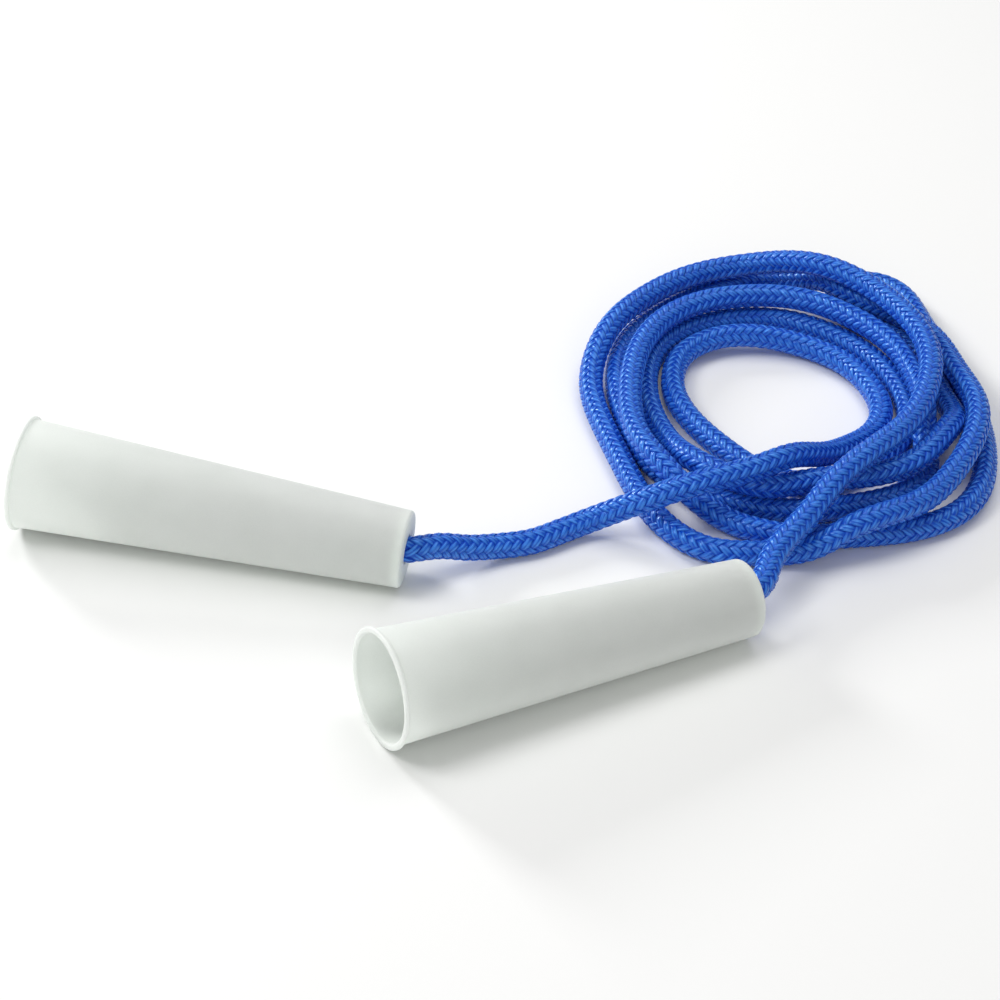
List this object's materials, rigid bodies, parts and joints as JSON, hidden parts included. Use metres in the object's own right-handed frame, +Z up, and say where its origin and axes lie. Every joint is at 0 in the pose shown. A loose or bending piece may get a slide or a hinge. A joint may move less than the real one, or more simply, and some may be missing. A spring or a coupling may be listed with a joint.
{
  "type": "skipping rope",
  "caption": "Skipping rope with hollow tapered plastic handles on a braided rope, laid down in a loose coil; the handles turn on the rope and lift from the table.",
  "frame": {"origin": "on the table, under the middle of the box round the two handles as they lie", "axes": "+X to the viewer's right along the pair of handles, +Y away from the viewer towards the coil, +Z up from the table"},
  "size_m": [0.3002, 0.2639, 0.0346],
  "materials": {
    "handle_plastic": "satin white moulded polypropylene",
    "braided_rope": "glossy blue braided polypropylene yarn"
  },
  "bodies": {
    "rope": {"left_run": "braided_rope", "rope_coil": "braided_rope", "right_run": "braided_rope"},
    "left_rope_end": {"left_neck": "braided_rope", "left_knot": "braided_rope", "left_tail": "braided_rope"},
    "left_handle": {"left_handle": "handle_plastic"},
    "right_rope_end": {"right_neck": "braided_rope", "right_knot": "braided_rope", "right_tail": "braided_rope"},
    "right_handle": {"right_handle": "handle_plastic"}
  },
  "joints": [
    {"name": "left_handle_lift", "type": "hinge", "parent": "rope", "child": "left_rope_end", "pos_m": [0.01016, 0.02401, 0.01133], "axis": [0.1633, 0.9866, 0], "range_deg": [0, 60]},
    {"name": "left_handle_spin", "type": "hinge", "parent": "left_rope_end", "child": "left_handle", "pos_m": [0.0072, 0.0245, 0.01148], "axis": [0.9853, -0.1631, -0.0499], "continuous": true},
    {"name": "right_handle_lift", "type": "hinge", "parent": "rope", "child": "right_rope_end", "pos_m": [0.10832, 0.01256, 0.01133], "axis": [-0.4863, 0.8738, 0], "range_deg": [0, 60]},
    {"name": "right_handle_spin", "type": "hinge", "parent": "right_rope_end", "child": "right_handle", "pos_m": [0.1057, 0.0111, 0.01148], "axis": [0.8727, 0.4857, -0.0499], "continuous": true}
  ]
}
